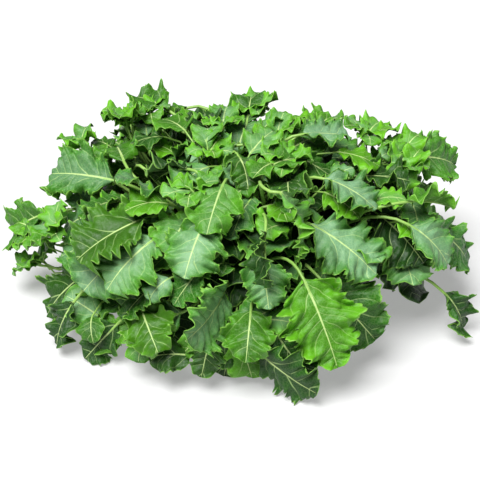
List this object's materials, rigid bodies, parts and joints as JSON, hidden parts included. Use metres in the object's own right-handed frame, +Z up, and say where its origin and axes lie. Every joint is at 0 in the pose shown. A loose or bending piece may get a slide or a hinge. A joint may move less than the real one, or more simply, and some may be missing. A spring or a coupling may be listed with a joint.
{
  "type": "kale bunch",
  "caption": "Wide, shaggy bunch of curly-edged green kale standing on its cut stems, with leaves hanging down all round.",
  "frame": {"origin": "middle of the centre stem's cut end, on the surface that the bunch stands on", "axes": "+Z up, +X to the right along the bunch's greatest width, -Y towards the front"},
  "size_m": [0.5936, 0.4736, 0.2364],
  "materials": {
    "kale_leaf": "living leaf: soft waxy sheen, blue-green centres and yellower margins, with paler veins and stalks"
  },
  "bodies": {
    "root": {"leafy_stem_centre": "kale_leaf", "leafy_stem_inner_1": "kale_leaf", "leafy_stem_inner_2": "kale_leaf", "leafy_stem_inner_3": "kale_leaf", "leafy_stem_inner_4": "kale_leaf", "leafy_stem_inner_5": "kale_leaf", "leafy_stem_outer_1": "kale_leaf", "leafy_stem_outer_2": "kale_leaf", "leafy_stem_outer_3": "kale_leaf", "leafy_stem_outer_4": "kale_leaf", "leafy_stem_outer_5": "kale_leaf", "leafy_stem_outer_6": "kale_leaf", "leafy_stem_outer_7": "kale_leaf", "leafy_stem_outer_8": "kale_leaf", "leafy_stem_outer_9": "kale_leaf"}
  },
  "joints": []
}
